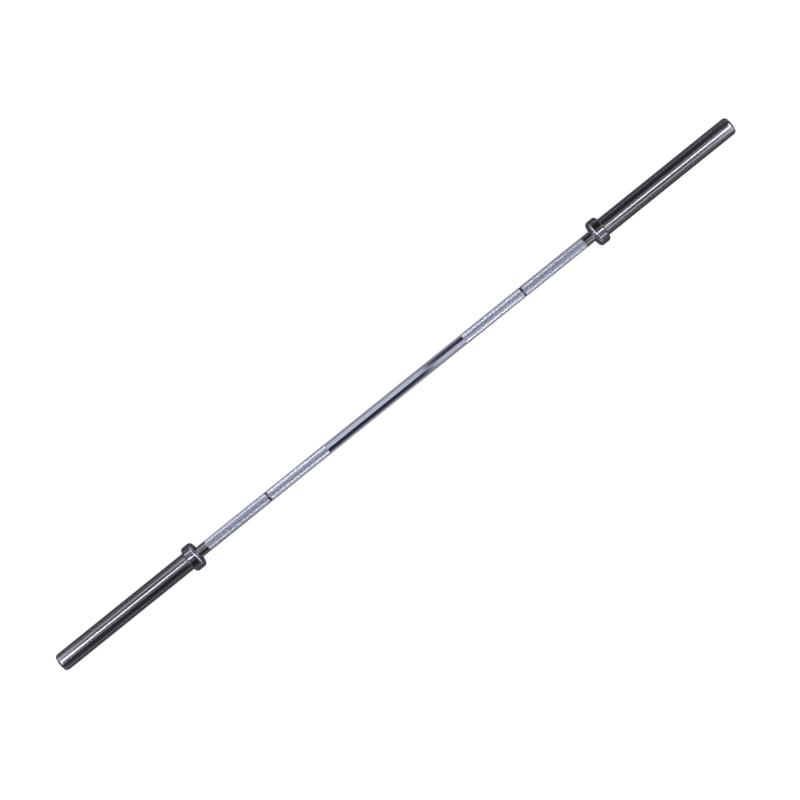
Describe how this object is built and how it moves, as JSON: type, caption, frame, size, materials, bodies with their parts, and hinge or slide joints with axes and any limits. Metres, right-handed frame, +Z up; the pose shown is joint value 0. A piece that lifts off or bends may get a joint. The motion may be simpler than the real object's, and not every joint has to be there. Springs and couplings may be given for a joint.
{
  "type": "olympic barbell",
  "caption": "Straight steel barbell for plate loading: knurled shaft with ring marks, stop collars and free-spinning bushed sleeves closed by recessed end caps.",
  "frame": {"origin": "the middle of the bar, on its axis", "axes": "+X along the bar to the right sleeve, +Z up"},
  "size_m": [2.2, 0.073, 0.073],
  "materials": {
    "shaft_chrome": "bright hard chrome on the plain stretches, knurled grips",
    "sleeve_chrome": "turned and hard chrome plated, fine turning marks",
    "collar_chrome": "polished chrome",
    "bushing_bronze": "turned bearing bronze, greased",
    "washer_steel": "zinc plated steel",
    "ring_steel": "phosphated spring steel",
    "cap_aluminium": "turned, satin",
    "seal_rubber": "black nitrile rubber"
  },
  "bodies": {
    "bar": {"shaft": "shaft_chrome", "left_inner_thrust_washer": "washer_steel", "left_outer_thrust_washer": "washer_steel", "left_shaft_ring": "ring_steel", "right_inner_thrust_washer": "washer_steel", "right_outer_thrust_washer": "washer_steel", "right_shaft_ring": "ring_steel"},
    "left_sleeve_assembly": {"left_sleeve": "sleeve_chrome", "left_collar": "collar_chrome", "left_inner_bushing": "bushing_bronze", "left_outer_bushing": "bushing_bronze", "left_end_cap": "cap_aluminium", "left_end_cap_ring": "ring_steel", "left_dust_seal": "seal_rubber"},
    "right_sleeve_assembly": {"right_sleeve": "sleeve_chrome", "right_collar": "collar_chrome", "right_inner_bushing": "bushing_bronze", "right_outer_bushing": "bushing_bronze", "right_end_cap": "cap_aluminium", "right_end_cap_ring": "ring_steel", "right_dust_seal": "seal_rubber"}
  },
  "joints": [
    {"name": "left_sleeve_spin", "type": "hinge", "parent": "bar", "child": "left_sleeve_assembly", "pos_m": [-0.874, 0, 0], "axis": [1, 0, 0], "continuous": true},
    {"name": "right_sleeve_spin", "type": "hinge", "parent": "bar", "child": "right_sleeve_assembly", "pos_m": [0.874, 0, 0], "axis": [1, 0, 0], "continuous": true}
  ]
}
